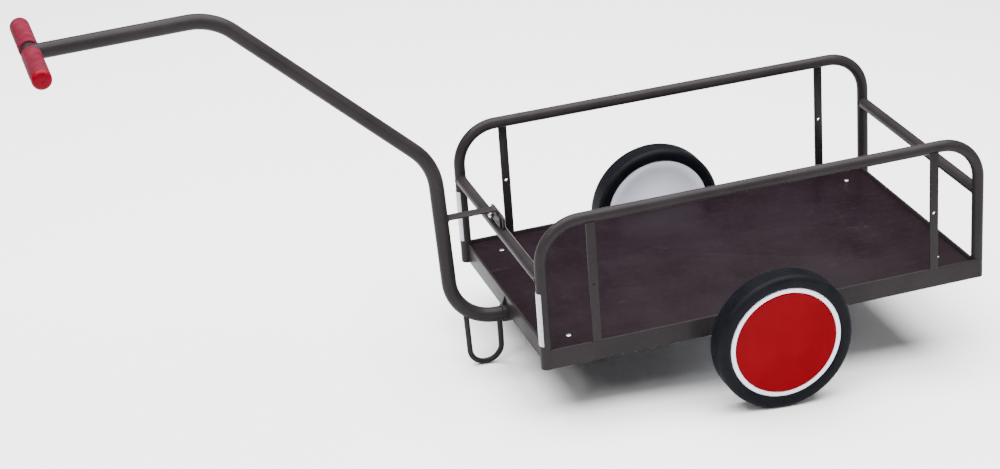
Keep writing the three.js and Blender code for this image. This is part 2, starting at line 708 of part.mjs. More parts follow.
function addAxle() {
  const end = WHEEL_Y + HUB_OUT + WASHER_T + AXLE_PROUD;
  addPiece('axle', rod(AXLE_R, point(AXLE_X, -end, AXLE_Z), point(AXLE_X, end, AXLE_Z), 32), 'zinc');
  for (const [sideName, side] of Object.entries(SIDES)) {
    addAxleBracket(sideName, side);
    const railFace = HALF_Y + TUBE_R + GAP;
    const hubFace = WHEEL_Y - HUB_IN - GAP;
    const washerFace = hubFace - WASHER_T;
    const bore = AXLE_R + GAP;
    const spacer = washerProfile(bore, SPACER_R, railFace, washerFace - GAP);
    const inner = washerProfile(bore, SPACER_R + WASHER_RIM, washerFace, hubFace);
    addPiece(`axle_spacer_${sideName}`, turned(spacer, side, AXLE_X, 0, AXLE_Z, HUB_SIDES), 'steel');
    addPiece(`washer_${sideName}`, turned(inner, side, AXLE_X, 0, AXLE_Z, HUB_SIDES), 'zinc');
    const outFace = WHEEL_Y + HUB_OUT + GAP;
    const clipR = AXLE_R + CLIP_RIM;
    const clip = [
      [bore, outFace],
      [clipR, outFace],
      [clipR, outFace + WASHER_T],
      [AXLE_R + CLIP_DOME, end + CLIP_DOME],
      [0, end + CLIP_DOME],
      [0, end + GAP],
      [bore, end + GAP],
      [bore, outFace],
    ];
    addPiece(`axle_clip_${sideName}`, turned(clip, side, AXLE_X, 0, AXLE_Z, HUB_SIDES), 'zinc');
  }
}

function addAxleBracket(sideName, side) {
  const half = AXLE_BRACKET_W / 2;
  const top = DECK_TOP - DECK_T - GAP;
  const low = AXLE_Z - AXLE_BRACKET_DROP;
  const shape = new THREE.Shape([
    new THREE.Vector2(AXLE_X - half, top),
    new THREE.Vector2(AXLE_X - half, 0),
    new THREE.Vector2(AXLE_X - AXLE_BRACKET_DROP, low),
    new THREE.Vector2(AXLE_X + AXLE_BRACKET_DROP, low),
    new THREE.Vector2(AXLE_X + half, 0),
    new THREE.Vector2(AXLE_X + half, top),
  ]);
  const hole = new THREE.Path();
  hole.absarc(AXLE_X, AXLE_Z, AXLE_R + GAP, 0, 2 * Math.PI, true);
  shape.holes.push(hole);
  const outer = HALF_Y + TUBE_R - RAIL_LEG - GAP;
  const [y0, y1] = [side * outer, side * (outer - AXLE_BRACKET_T)].sort((a, b) => a - b);
  addPiece(`axle_bracket_${sideName}`, plateAcrossY(shape, y0, y1, 16), 'steel');
}

function tyreProfile() {
  const bead = FLANGE_R - BARREL_T - BARREL_DROP + GAP;
  const beadHalf = RIM_W / 2 - FLANGE_T - GAP;
  const half = TYRE_W / 2;
  const right = [
    [bead, beadHalf],
    [FLANGE_R + GAP, beadHalf],
    [FLANGE_R + GAP, half - SIDEWALL_STEP],
    [FLANGE_R + SIDEWALL_STEP, half],
  ];
  for (const share of [0, 1 / 3, 2 / 3, 1]) {
    const angle = (share * Math.PI) / 2;
    right.push([
      WHEEL_R - SHOULDER_R * (1 - Math.sin(angle)),
      half - SHOULDER_R * (1 - Math.cos(angle)),
    ]);
  }
  const grooves = [0.52, 0.18].flatMap((share) => grooveProfile(share * half));
  const upper = [...right, ...grooves];
  const lower = upper.map(([r, y]) => [r, -y]).reverse();
  return [...upper, ...lower, upper[0]].reverse();
}

function grooveProfile(middle) {
  const half = TREAD_GROOVE_W / 2;
  const floor = WHEEL_R - TREAD_GROOVE_DEPTH;
  return [
    [WHEEL_R, middle + half],
    [floor, middle],
    [WHEEL_R, middle - half],
  ];
}

function rimProfile() {
  const barrelOut = FLANGE_R - BARREL_T - BARREL_DROP;
  const barrelIn = barrelOut - BARREL_T;
  const face = RIM_W / 2;
  const seat = face - CAP_T + CAP_PROUD - GAP;
  const seatR = CAP_R + GAP;
  const bore = BUSH_R + GAP;
  return [
    [bore, -HUB_IN],
    [HUB_R, -HUB_IN],
    [HUB_R + HUB_FILLET, -HUB_IN + DISC_AT_HUB],
    [barrelIn - DISC_LIP, -face + DISC_AT_RIM],
    [barrelIn, -face],
    [FLANGE_R, -face],
    [FLANGE_R, -face + FLANGE_T],
    [barrelOut, -face + FLANGE_T],
    [barrelOut, face - FLANGE_T],
    [FLANGE_R, face - FLANGE_T],
    [FLANGE_R, face],
    [seatR, face],
    [seatR, seat],
    [barrelIn, seat],
    [barrelIn, -face + DISC_AT_RIM + DISC_T],
    [HUB_R + HUB_FILLET, -HUB_IN + DISC_AT_HUB + DISC_T],
    [HUB_R, HUB_OUT],
    [bore, HUB_OUT],
    [bore, -HUB_IN],
  ];
}

function capProfile() {
  const face = RIM_W / 2 + CAP_PROUD;
  const back = face - CAP_T;
  return [[0, back], [CAP_R, back], [CAP_R, face - 1], [CAP_R - 1, face], [0, face]];
}

function addWheels() {
  for (const [sideName, side] of Object.entries(SIDES)) {
    const place = [side, AXLE_X, side * WHEEL_Y, AXLE_Z];
    addPiece(`tyre_${sideName}`, turned(tyreProfile(), ...place, WHEEL_SIDES), 'rubber');
    addPiece(`rim_${sideName}`, turned(rimProfile(), ...place, WHEEL_SIDES), 'rim');
    addPiece(`wheel_cap_${sideName}`, turned(capProfile(), ...place, WHEEL_SIDES), 'cap');
    const bush = washerProfile(AXLE_R + GAP, BUSH_R, -HUB_IN, HUB_OUT);
    addPiece(`bush_${sideName}`, turned(bush, ...place, HUB_SIDES), 'nylon');
  }
}

// The lean that brings the loop's lowest point down to the tyres' lowest point.
function leanAngle() {
  const ahead = AXLE_X - LOOP_X;
  const below = AXLE_Z - LOOP_BEND_Z;
  const drop = WHEEL_R - LOOP_BEND_R - LOOP_BAR_D / 2;
  return Math.asin(drop / Math.hypot(ahead, below)) - Math.atan2(below, ahead);
}

addHoops();
addCrossbars();
addStanchions();
addSideRails();
addEndRails();
addCrossMembers();
addDeck();
addReflectors();
addSocket();
addLug();
addDrawbar();
addStandLoop();
addBrace();
addAxle();
addWheels();

// Lean about the axle, then set the origin under the middle of the wagon's box, on the floor.
chassis.rotation.y = -leanAngle();
wagon.updateMatrixWorld(true);
const extent = new THREE.Box3().setFromObject(wagon, true);
const middle = extent.getCenter(new THREE.Vector3());
chassis.position.set(-middle.x, -middle.y, -extent.min.z);
wagon.updateMatrixWorld(true);

export default wagon;
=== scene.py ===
# %% [markdown]
# # A hand wagon with a pull handle
#
# This lesson models a small two-wheeled hand wagon: a frame of bent steel tube
# and angle iron around a plywood deck, two solid-tyred wheels, and a bent
# drawbar that ends in a T-handle with red grips.
#
# The CAD model fixes every size and every moving body. Here each piece is
# modelled again at that size, with the rounded edges, welds, ribs and surfaces
# that make it look real. Pieces are drawn in the wagon's own level frame, in
# millimetres, and then laid into place by one transform.

# %% Load the CAD frame
import json
from math import asin, cos, degrees, pi, radians, sin, tan

import bpy
from mathutils import Matrix, Vector


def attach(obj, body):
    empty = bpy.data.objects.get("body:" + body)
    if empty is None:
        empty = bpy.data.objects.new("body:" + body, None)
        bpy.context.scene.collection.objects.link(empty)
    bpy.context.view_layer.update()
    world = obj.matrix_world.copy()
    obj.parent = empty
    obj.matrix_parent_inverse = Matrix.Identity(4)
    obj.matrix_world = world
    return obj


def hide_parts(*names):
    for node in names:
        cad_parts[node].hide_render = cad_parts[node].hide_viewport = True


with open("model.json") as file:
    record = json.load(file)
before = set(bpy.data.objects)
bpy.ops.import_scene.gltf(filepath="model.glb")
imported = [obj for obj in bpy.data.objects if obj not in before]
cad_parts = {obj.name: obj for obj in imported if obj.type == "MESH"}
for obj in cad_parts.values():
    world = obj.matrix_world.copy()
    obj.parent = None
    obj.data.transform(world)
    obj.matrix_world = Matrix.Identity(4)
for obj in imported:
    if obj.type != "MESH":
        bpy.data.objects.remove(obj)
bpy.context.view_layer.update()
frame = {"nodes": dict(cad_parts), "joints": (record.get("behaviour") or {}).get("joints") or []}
nodes = frame["nodes"]
joints = {joint["name"]: joint for joint in frame["joints"]}

# %% [markdown]
# ## The wagon leans
#
# The wagon stands on its wheels and on the loop under the drawbar, so its deck
# slopes down a little towards the handle. It is easier to draw everything with
# a level deck and to lean the finished piece. The lean is read from the
# drawbar's direction of travel, and the place from the wheel's axis.

# %% From the level frame to the floor
MM = 0.001
HALF_TRACK = 279  # from the wagon's middle to a post's axis
LENGTH = 976  # front posts to rear posts
WHEEL_Y = 363  # from the wagon's middle to a wheel's middle
AXLE = Vector((484, 0, -1)) * MM

pull = Vector(joints["drawbar_slide"]["axis"])
lean = asin(-pull.z)
axle_place = Vector(joints["wheel_left_spin"]["pos_m"])
axle_place.y = 0
LEAN_IN = Matrix.Translation(axle_place) @ Matrix.Rotation(-lean, 4, "Y") @ Matrix.Translation(-AXLE)
print("the deck leans", round(degrees(lean), 2), "degrees")


# %% [markdown]
# ## Small helpers
#
# Nothing may be selected by accident, so every helper starts by clearing the
# selection. `open_piece` goes into edit mode on one piece and `close_piece`
# comes back out and tidies the mesh: doubled points are merged and the normals
# are made to point outwards.

# %% Opening and closing a piece
def pick(piece):
    for other in bpy.context.selected_objects:
        other.select_set(False)
    piece.select_set(True)
    bpy.context.view_layer.objects.active = piece


def new_piece(name):
    piece = bpy.context.active_object
    piece.name = name.replace(" ", "-")
    piece.data.name = piece.name
    return piece


def open_piece(piece, select="SELECT"):
    pick(piece)
    bpy.ops.object.mode_set(mode="EDIT")
    bpy.ops.mesh.select_all(action=select)


def close_piece(piece):
    bpy.ops.mesh.select_all(action="SELECT")
    bpy.ops.mesh.remove_doubles(threshold=1e-6)
    bpy.ops.mesh.normals_make_consistent(inside=False)
    bpy.ops.object.mode_set(mode="OBJECT")
    return piece


def modify(piece, kind, **settings):
    pick(piece)
    modifier = piece.modifiers.new(kind.lower(), kind)
    for name, value in settings.items():
        setattr(modifier, name, value)
    bpy.ops.object.modifier_apply(modifier=modifier.name)
    return piece


def ease_edges(piece, width, segments=2, angle=30):
    return modify(
        piece, "BEVEL", width=width * MM, segments=segments, limit_method="ANGLE", angle_limit=radians(angle))


def cut(piece, tool):
    modify(piece, "BOOLEAN", operation="DIFFERENCE", object=tool, solver="EXACT")
    bpy.data.objects.remove(tool)
    return piece


def smooth(piece, angle=35):
    pick(piece)
    bpy.ops.object.shade_smooth_by_angle(angle=radians(angle))
    return piece


# %% [markdown]
# A finished piece is leaned into place, told which moving body it rides on, and
# told which CAD pieces it stands for. A wagon is the same on both sides, so most
# pieces are modelled once, on the left, and mirrored.

# %% Placing, mirroring and riding
finished = {}


def place(piece, body, *stands_for):
    piece.data.transform(LEAN_IN @ piece.matrix_world)
    piece.matrix_world = Matrix.Identity(4)
    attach(piece, body)
    if stands_for:
        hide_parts(*stands_for)
    finished[piece.name] = piece
    return piece


def copy_of(piece, name, change):
    pick(piece)
    bpy.ops.object.duplicate()
    twin = new_piece(name)
    twin.data.transform(change)
    if change.determinant() < 0:
        open_piece(twin)
        bpy.ops.mesh.flip_normals()
        bpy.ops.object.mode_set(mode="OBJECT")
    return twin


ACROSS = Matrix.Diagonal((1, -1, 1, 1))


# %% [markdown]
# ## Drawing bent bar and tube
#
# Real tube is bent round a former: straight, then an arc, then straight again.
# `bend_along` does the same. It starts with one ring, or one flat rectangle, at
# the first corner of a route. It extrudes the ring along each straight and spins
# it round each bend's own centre. `mesh.spin` turns the other way to the
# right-hand rule, so its angle is negative.

# %% Extruding and spinning a section along a route
BEND_STEP = 5  # degrees


def bend_along(name, route, radius=None, flat=None, wall=0, sides=40):
    corners = [Vector(stop[:3]) * MM for stop in route]
    bends = [(stop[3] if len(stop) > 3 else 0) * MM for stop in route]
    heading = (corners[1] - corners[0]).normalized()
    side = Vector((1, 0, 0)) if abs(heading.y) > 0.9 else Vector((0, 1, 0))
    turned = Matrix((side, heading.cross(side), heading)).transposed().to_euler()
    if flat:
        bpy.ops.mesh.primitive_plane_add(size=1, location=corners[0], rotation=turned)
        bpy.context.active_object.scale = (flat[0] * MM, flat[1] * MM, 1)
    else:
        bpy.ops.mesh.primitive_circle_add(
            vertices=sides, radius=radius * MM, location=corners[0], rotation=turned)
    piece = new_piece(name)
    bpy.ops.object.transform_apply(location=True, rotation=True, scale=True)
    open_piece(piece)
    if flat:
        bpy.ops.mesh.delete(type="ONLY_FACE")
        bpy.ops.mesh.select_all(action="SELECT")
    here = corners[0]
    for index in range(1, len(corners)):
        stop = corners[index]
        turn = 0
        if index < len(corners) - 1:
            onward = (corners[index + 1] - stop).normalized()
            turn = heading.angle(onward)
            reach = bends[index] * tan(turn / 2)
            stop = stop - heading * reach
        bpy.ops.mesh.extrude_region_move(TRANSFORM_OT_translate={"value": stop - here})
        if turn:
            axis = heading.cross(onward).normalized()
            centre = stop + axis.cross(heading) * bends[index]
            steps = max(4, round(degrees(turn) / BEND_STEP))
            bpy.ops.mesh.spin(steps=steps, angle=-turn, center=centre, axis=axis)
            stop = corners[index] + onward * reach
            heading = onward
        here = stop
    if not wall:
        bpy.ops.mesh.select_all(action="SELECT")
        bpy.ops.mesh.remove_doubles(threshold=1e-6)
        bpy.ops.mesh.fill_holes(sides=0)
    close_piece(piece)
    if wall:
        modify(piece, "SOLIDIFY", thickness=wall * MM, offset=-1)
    return piece


# %% [markdown]
# Round pieces such as tyres, rims and screws are turned. `turn_profile` draws the
# outline point by point, as (radius, distance along the axis), and spins it once
# round. `block` is a plain bar or plate with eased edges.

# %% Turned pieces and blocks
def turn_profile(name, outline, centre, axis="Y", sides=72):
    along = {"X": Vector((1, 0, 0)), "Y": Vector((0, 1, 0)), "Z": Vector((0, 0, 1))}[axis]
    out = Vector((0, 0, 1)) if axis != "Z" else Vector((1, 0, 0))
    middle = Vector(centre) * MM
    spots = [middle + (out * radius + along * reach) * MM for radius, reach in outline]
    bpy.ops.mesh.primitive_plane_add(size=MM, location=spots[0])
    piece = new_piece(name)
    bpy.ops.object.transform_apply(location=True)
    open_piece(piece)
    bpy.ops.mesh.merge(type="CENTER")
    for before, after in zip(spots, spots[1:]):
        bpy.ops.mesh.extrude_region_move(TRANSFORM_OT_translate={"value": after - before})
    bpy.ops.mesh.select_all(action="SELECT")
    bpy.ops.mesh.spin(steps=sides, angle=2 * pi, center=middle, axis=along)
    return close_piece(piece)


def block(name, low, high, ease=0.6):
    size = [(b - a) * MM for a, b in zip(low, high)]
    centre = [(a + b) / 2 * MM for a, b in zip(low, high)]
    bpy.ops.mesh.primitive_cube_add(size=1, location=centre)
    piece = new_piece(name)
    piece.scale = size
    bpy.ops.object.transform_apply(location=True, rotation=True, scale=True)
    if ease:
        ease_edges(piece, ease)
    return piece


def drill(piece, centre, axis, radius, depth=30, sides=32):
    turned = {"X": (0, pi / 2, 0), "Y": (pi / 2, 0, 0), "Z": (0, 0, 0)}[axis]
    bpy.ops.mesh.primitive_cylinder_add(
        vertices=sides, radius=radius * MM, depth=depth * MM, location=Vector(centre) * MM, rotation=turned)
    return cut(piece, new_piece("drill"))


# %% [markdown]
# ## Weld beads
#
# The frame is welded, and a weld shows as a low, uneven ridge where two pieces
# meet. A straight bead is a thin bar with its points nudged a little. Where one
# round tube meets another of the same size the joint is a saddle, so the ring is
# pushed out to follow the post.

# %% Straight beads and saddle rings
RIPPLE = 2.5  # from one ripple of a bead to the next
SADDLE_BEAD = 1.7  # radius of a ring's own section


def bead(name, start, end, radius=1.8):
    count = max(6, round((Vector(end) - Vector(start)).length / RIPPLE))
    piece = bend_along(name, [start, end], radius=radius, sides=10)
    open_piece(piece)
    bpy.ops.mesh.select_all(action="DESELECT")
    bpy.ops.object.mode_set(mode="OBJECT")
    for edge in piece.data.edges:
        a, b = (piece.data.vertices[index].co for index in edge.vertices)
        edge.select = (a - b).length > radius * 1.5 * MM
    bpy.ops.object.mode_set(mode="EDIT")
    bpy.ops.mesh.select_mode(type="EDGE")
    bpy.ops.mesh.subdivide(number_cuts=count)
    bpy.ops.mesh.select_mode(type="VERT")
    bpy.ops.mesh.select_all(action="SELECT")
    bpy.ops.transform.vertex_random(offset=radius * 0.25 * MM, seed=count)
    return smooth(close_piece(piece), 60)


def saddle_bead(name, centre, post_radius, bar_radius, towards):
    bpy.ops.mesh.primitive_torus_add(
        major_segments=48, minor_segments=8, major_radius=bar_radius * MM, minor_radius=SADDLE_BEAD * MM,
        location=Vector(centre) * MM, rotation=(pi / 2, 0, 0))
    piece = new_piece(name)
    bpy.ops.object.transform_apply(location=True, rotation=True, scale=True)
    for point in piece.data.vertices:
        aside = min(abs(point.co.x - centre[0] * MM), post_radius * 0.97 * MM)
        fall = post_radius * MM - ((post_radius * MM) ** 2 - aside ** 2) ** 0.5
        point.co.y += towards * fall
    open_piece(piece)
    bpy.ops.transform.vertex_random(offset=0.35 * MM, seed=7)
    return smooth(close_piece(piece), 60)


# %% [markdown]
# ## The tube frame
#
# Each side is one hoop of 25 mm tube: up, over and down, with two wide bends.
# Two crossbars tie the hoops together at the front and at the rear. On a real
# wagon these are bent cold on a tube bender and welded in a jig.

# %% Hoops and crossbars
HOOP_TOP = 318
HOOP_BEND = 87
TUBE = 12.5  # radius
CROSSBAR = 199  # height

hoop = bend_along("side hoop left", [
    (0, -HALF_TRACK, 0),
    (0, -HALF_TRACK, HOOP_TOP, HOOP_BEND),
    (LENGTH, -HALF_TRACK, HOOP_TOP, HOOP_BEND),
    (LENGTH, -HALF_TRACK, 0),
], radius=TUBE, wall=2)
smooth(hoop)
place(copy_of(hoop, "side hoop right", ACROSS), "chassis", "side_hoop_right")
place(hoop, "chassis", "side_hoop_left")

for end, x in (("front", 0), ("rear", LENGTH)):
    reach = HALF_TRACK - 8
    bar = bend_along(f"crossbar {end}", [(x, -reach, CROSSBAR), (x, reach, CROSSBAR)], radius=TUBE, wall=2)
    place(smooth(bar), "chassis", f"crossbar_{end}")
    for side, name in ((-1, "left"), (1, "right")):
        inside = side * (HALF_TRACK - TUBE)
        ring = saddle_bead(f"crossbar weld {end} {name}", (x, inside, CROSSBAR), TUBE, TUBE, side)
        place(ring, "chassis")
print("hoops and crossbars:", len(finished), "pieces")

# %% [markdown]
# ## Flat uprights
#
# Inside each hoop stand two flat bars with a bolt hole at mid height, for side
# panels. One is cut and drilled, and the other three are copies.

# %% Four drilled uprights
UPRIGHT_IN = 107.5  # from the post's axis
RAIL_TOP = 43
OUTER_FACE = -HALF_TRACK - TUBE  # of the left rail and uprights
PLATE = 5  # thickness of the uprights and the angle iron
BOLT_HEIGHT = 173
BOLT_HOLE = 3.5  # radius

low = (UPRIGHT_IN - 9.5, OUTER_FACE, RAIL_TOP - 1)
high = (UPRIGHT_IN + 9.5, OUTER_FACE + PLATE, 311)
upright = block("upright front left", low, high)
drill(upright, (UPRIGHT_IN, OUTER_FACE + PLATE / 2, BOLT_HEIGHT), "Y", BOLT_HOLE)
weld_ends = [UPRIGHT_IN - 9, UPRIGHT_IN + 9]
foot_weld = bead("upright weld front left", *[(x, -287, RAIL_TOP) for x in weld_ends])
head_weld = bead("upright top weld front left", *[(x, -289, 309.5) for x in weld_ends])
smooth(upright)
back = Matrix.Translation(((LENGTH - 2 * UPRIGHT_IN) * MM, 0, 0))
for end, along in (("front", Matrix.Identity(4)), ("rear", back)):
    for side, across in (("left", Matrix.Identity(4)), ("right", ACROSS)):
        change = across @ along
        place(copy_of(upright, f"upright {end} {side}", change), "chassis", f"stanchion_{end}_{side}")
        place(copy_of(foot_weld, f"upright foot weld {end} {side}", change), "chassis")
        place(copy_of(head_weld, f"upright head weld {end} {side}", change), "chassis")
for spare in (upright, foot_weld, head_weld):
    bpy.data.objects.remove(spare)

# %% [markdown]
# ## The angle-iron rim
#
# The deck lies in a rim of angle iron. Each length starts as its square corner:
# the top face is extruded up into the upright leg, and the inner face is
# extruded in to make the ledge under the deck. Rolled angle has rounded edges,
# which catch the light as a thin bright line.

# %% Side, front and rear rails
RAIL_LEG = 40  # width of the flat leg


def extrude_faces(piece, normal, distance):
    normal = Vector(normal)
    open_piece(piece, "DESELECT")
    bpy.ops.mesh.select_mode(type="FACE")
    bpy.ops.object.mode_set(mode="OBJECT")
    for face in piece.data.polygons:
        face.select = face.normal.dot(normal) > 0.99
    bpy.ops.object.mode_set(mode="EDIT")
    bpy.ops.mesh.extrude_region_move(TRANSFORM_OT_translate={"value": normal * distance * MM})
    bpy.ops.mesh.select_mode(type="VERT")
    return close_piece(piece)


def angle_iron(name, low, high, inward):
    piece = block(name, low, high, ease=0)
    extrude_faces(piece, inward, RAIL_LEG - PLATE)
    open_piece(piece, "DESELECT")
    bpy.ops.mesh.select_mode(type="FACE")
    bpy.ops.object.mode_set(mode="OBJECT")
    corner = (Vector(low) + Vector(high)) / 2 * MM
    for face in piece.data.polygons:
        near = (Vector(face.center) - corner).dot(Vector(inward)) < 0.52 * PLATE * MM
        face.select = face.normal.z > 0.99 and near
    bpy.ops.object.mode_set(mode="EDIT")
    bpy.ops.mesh.extrude_region_move(TRANSFORM_OT_translate={"value": (0, 0, (RAIL_TOP - PLATE) * MM)})
    bpy.ops.mesh.select_mode(type="VERT")
    close_piece(piece)
    ease_edges(piece, 1.1, segments=3)
    return smooth(piece)


low = (2, OUTER_FACE, 0)
high = (LENGTH - 2, OUTER_FACE + PLATE, PLATE)
side_rail = angle_iron("side rail left", low, high, (0, 1, 0))
place(copy_of(side_rail, "side rail right", ACROSS), "chassis", "rail_right")
place(side_rail, "chassis", "rail_left")
front_rail = angle_iron("front rail", (1, -268, 0), (1 + PLATE, 268, PLATE), (1, 0, 0))
place(front_rail, "chassis", "rail_front")
rear_rail = angle_iron("rear rail", (968 - PLATE, -272, 0), (968, 272, PLATE), (-1, 0, 0))
place(rear_rail, "chassis", "rail_rear")

# %% Corner welds down the posts
corner_weld = bead("corner weld side", (10.5, -289.5, 3), (10.5, -289.5, 41), 1.6)
end_weld = bead("corner weld end", (3.5, -267.3, 2), (3.5, -267.3, 41), 1.6)
to_rear = Matrix.Translation((LENGTH * MM, 0, 0)) @ Matrix.Diagonal((-1, 1, 1, 1))
for end, along in (("front", Matrix.Identity(4)), ("rear", to_rear)):
    for side, across in (("left", Matrix.Identity(4)), ("right", ACROSS)):
        place(copy_of(corner_weld, f"side weld {end} {side}", across @ along), "chassis")
        place(copy_of(end_weld, f"end weld {end} {side}", across @ along), "chassis")
for spare in (corner_weld, end_weld):
    bpy.data.objects.remove(spare)
print("frame pieces so far:", len(finished))

# %% [markdown]
# ## The deck
#
# The deck is film-faced plywood, notched round the posts and held by a screw
# near each corner. The screw heads are bright and slightly domed, with a cross
# recess.

# %% Plywood deck
DECK_TOP = 35
DECK_THICK = 12
DECK_HALF = 285.6  # half the width
deck = block("plywood deck", (6.5, -DECK_HALF, DECK_TOP - DECK_THICK), (962.5, DECK_HALF, DECK_TOP), ease=0)
for x in (0, LENGTH):
    for y in (-HALF_TRACK, HALF_TRACK):
        drill(deck, (x, y, DECK_TOP), "Z", TUBE + 1, depth=60)
ease_edges(deck, 0.7)
place(smooth(deck), "chassis", "deck")

# %% Four deck screws
SCREW_X = 67
SCREW_Y = 226
screw = turn_profile("deck screw", [
    (0, -8), (2.4, -8), (2.4, -1), (5.1, -1), (5.5, -0.5),
    (5.5, 0), (5, 0.35), (3.8, 0.65), (2.2, 0.85), (0, 0.9),
], (SCREW_X, -SCREW_Y, DECK_TOP), axis="Z", sides=40)
for size in ((2.9, 0.45), (0.45, 2.9)):
    low = (SCREW_X - size[0], -SCREW_Y - size[1], DECK_TOP - 0.9)
    high = (SCREW_X + size[0], -SCREW_Y + size[1], DECK_TOP + 3)
    cut(screw, block("cross slot", low, high, ease=0))
smooth(screw)
spots = [(x, y) for x in (0, LENGTH - 2 * SCREW_X) for y in (0, 2 * SCREW_Y)]
for number, (x, y) in enumerate(spots, 1):
    change = Matrix.Translation((x * MM, y * MM, 0))
    place(copy_of(screw, f"deck screw {number}", change), "chassis", f"deck_screw_{number}")
bpy.data.objects.remove(screw)

# %% [markdown]
# ## Reflectors
#
# A strip of reflective film is stuck round the front of each front post. It is
# one upright edge, spun through part of a turn round the post and given the
# film's thickness.

# %% Curved reflector strips
FILM_R = TUBE + 0.35
FILM_WIDTH = 27  # measured round the post
FILM_FOOT = 54
FILM_HEIGHT = 119
half_turn = FILM_WIDTH / 2 / FILM_R
start = Vector((-FILM_R * cos(half_turn), -HALF_TRACK + FILM_R * sin(half_turn), FILM_FOOT)) * MM
bpy.ops.mesh.primitive_plane_add(size=MM, location=start)
film = new_piece("reflector left")
bpy.ops.object.transform_apply(location=True)
open_piece(film)
bpy.ops.mesh.merge(type="CENTER")
bpy.ops.mesh.extrude_region_move(TRANSFORM_OT_translate={"value": (0, 0, FILM_HEIGHT * MM)})
bpy.ops.mesh.select_all(action="SELECT")
bpy.ops.mesh.spin(steps=24, angle=-2 * half_turn, center=(0, -HALF_TRACK * MM, 0), axis=(0, 0, 1))
close_piece(film)
modify(film, "SOLIDIFY", thickness=0.7 * MM, offset=1)
ease_edges(film, 0.25, segments=2, angle=50)
smooth(film, 50)
low = min(point.co.x for point in film.data.vertices) / MM
print("the film stands", round(-low - TUBE, 2), "mm proud of the post")
place(copy_of(film, "reflector right", ACROSS), "chassis", "reflector_right")
place(film, "chassis", "reflector_left")

# %% [markdown]
# ## Drawbar socket
#
# The drawbar's foot slides into a short sleeve welded under the front rail, and
# a screw in the sleeve's side clamps it. The screw's head has a hexagon socket.

# %% Socket sleeve and clamp screw
BAR_Z = -1.3
DRAWBAR = 15.9  # radius
SLEEVE_WALL = 3.5
SLEEVE = DRAWBAR + 0.5 + SLEEVE_WALL  # radius, half a millimetre slack
sleeve_route = [(-8, 0, BAR_Z), (52.5, 0, BAR_Z)]
sleeve = bend_along("drawbar socket", sleeve_route, radius=SLEEVE, wall=SLEEVE_WALL, sides=48)
ease_edges(sleeve, 0.7)
place(smooth(sleeve), "chassis", "drawbar_socket")

clamp_x = -3.8
CLAMP_HEAD = SLEEVE + 4
clamp = turn_profile("clamp screw", [
    (0, -16), (2.5, -16), (2.5, -20), (3.7, -20), (4, -20.3), (4, -23.4),
    (3.5, -CLAMP_HEAD), (0, -CLAMP_HEAD),
], (clamp_x, 0, BAR_Z), axis="Y", sides=32)
bpy.ops.mesh.primitive_cylinder_add(
    vertices=6, radius=2.1 * MM, depth=4 * MM,
    location=Vector((clamp_x, -CLAMP_HEAD, BAR_Z)) * MM, rotation=(pi / 2, 0, 0))
cut(clamp, new_piece("hexagon"))
place(smooth(clamp), "chassis", "clamp_screw")
for side, name in ((-1, "left"), (1, "right")):
    line = bead(f"socket weld {name}", (2, side * 15.7, BAR_Z + 11.2), (40, side * 15.7, BAR_Z + 11.2), 2)
    place(line, "chassis")

# %% [markdown]
# ## Lug, stud and nut
#
# A rounded plate stands on the front crossbar. The drawbar's brace lies against
# it and one stud with a bright hexagon nut holds it. The second hole is spare.

# %% Lug plate on the crossbar
LUG_FOOT = CROSSBAR + TUBE - 1
LUG_TOP = CROSSBAR + TUBE + 28
STUD_Z = CROSSBAR + TUBE + 10
STUD_Y = 20

lug = block("crossbar lug", (-2.5, -42.5, LUG_FOOT), (2.5, 42.5, LUG_TOP), ease=0)
open_piece(lug, "DESELECT")
bpy.ops.mesh.select_mode(type="EDGE")
bpy.ops.object.mode_set(mode="OBJECT")
for edge in lug.data.edges:
    a, b = (lug.data.vertices[index].co for index in edge.vertices)
    edge.select = abs(a.y - b.y) < 1e-5 and abs(a.z - b.z) < 1e-5 and a.z > (LUG_TOP - 1) * MM
bpy.ops.object.mode_set(mode="EDIT")
bpy.ops.mesh.bevel(offset=9 * MM, segments=8, affect="EDGES")
bpy.ops.mesh.select_mode(type="VERT")
close_piece(lug)
for y in (-STUD_Y, STUD_Y):
    drill(lug, (0, y, STUD_Z), "X", 3.3)
ease_edges(lug, 0.5, angle=40)
place(smooth(lug), "chassis", "crossbar_lug")
for x, name in ((-3, "front"), (3, "back")):
    place(bead(f"lug weld {name}", (x, -41, LUG_FOOT + 1), (x, 41, LUG_FOOT + 1), 1.6), "chassis")

# %% Threaded stud and hexagon nut
NUT_X = -9.6
thread = [(0, -15.2)]
for k in range(12):
    x = -14.9 + k
    thread += [(2.5, x), (3, x + 0.5)]
thread += [(3, -2.6), (3, 2.8), (4.6, 2.8), (5, 3.2), (5, 6.4), (4.6, 6.8), (0, 6.8)]
stud = turn_profile("lug stud", thread, (0, STUD_Y, STUD_Z), axis="X", sides=32)
place(smooth(stud, 60), "chassis", "lug_stud")

bpy.ops.mesh.primitive_cylinder_add(
    vertices=6, radius=5.77 * MM, depth=5 * MM,
    location=Vector((NUT_X, STUD_Y, STUD_Z)) * MM, rotation=(0, pi / 2, 0))
nut = new_piece("brace nut")
bpy.ops.object.transform_apply(location=True, rotation=True)
drill(nut, (NUT_X, STUD_Y, STUD_Z), "X", 3.2)
ease_edges(nut, 0.5, segments=3)
place(smooth(nut), "drawbar", "brace_nut")

# %% [markdown]
# ## Drawbar
#
# The drawbar is one length of 32 mm tube with three bends. It leaves the socket
# level, turns straight up in front of the wagon, leans away, and then runs out
# nearly level to the handle. The brace that ties it to the lug is a flat bar
# bent down at its end, with a wider foot.

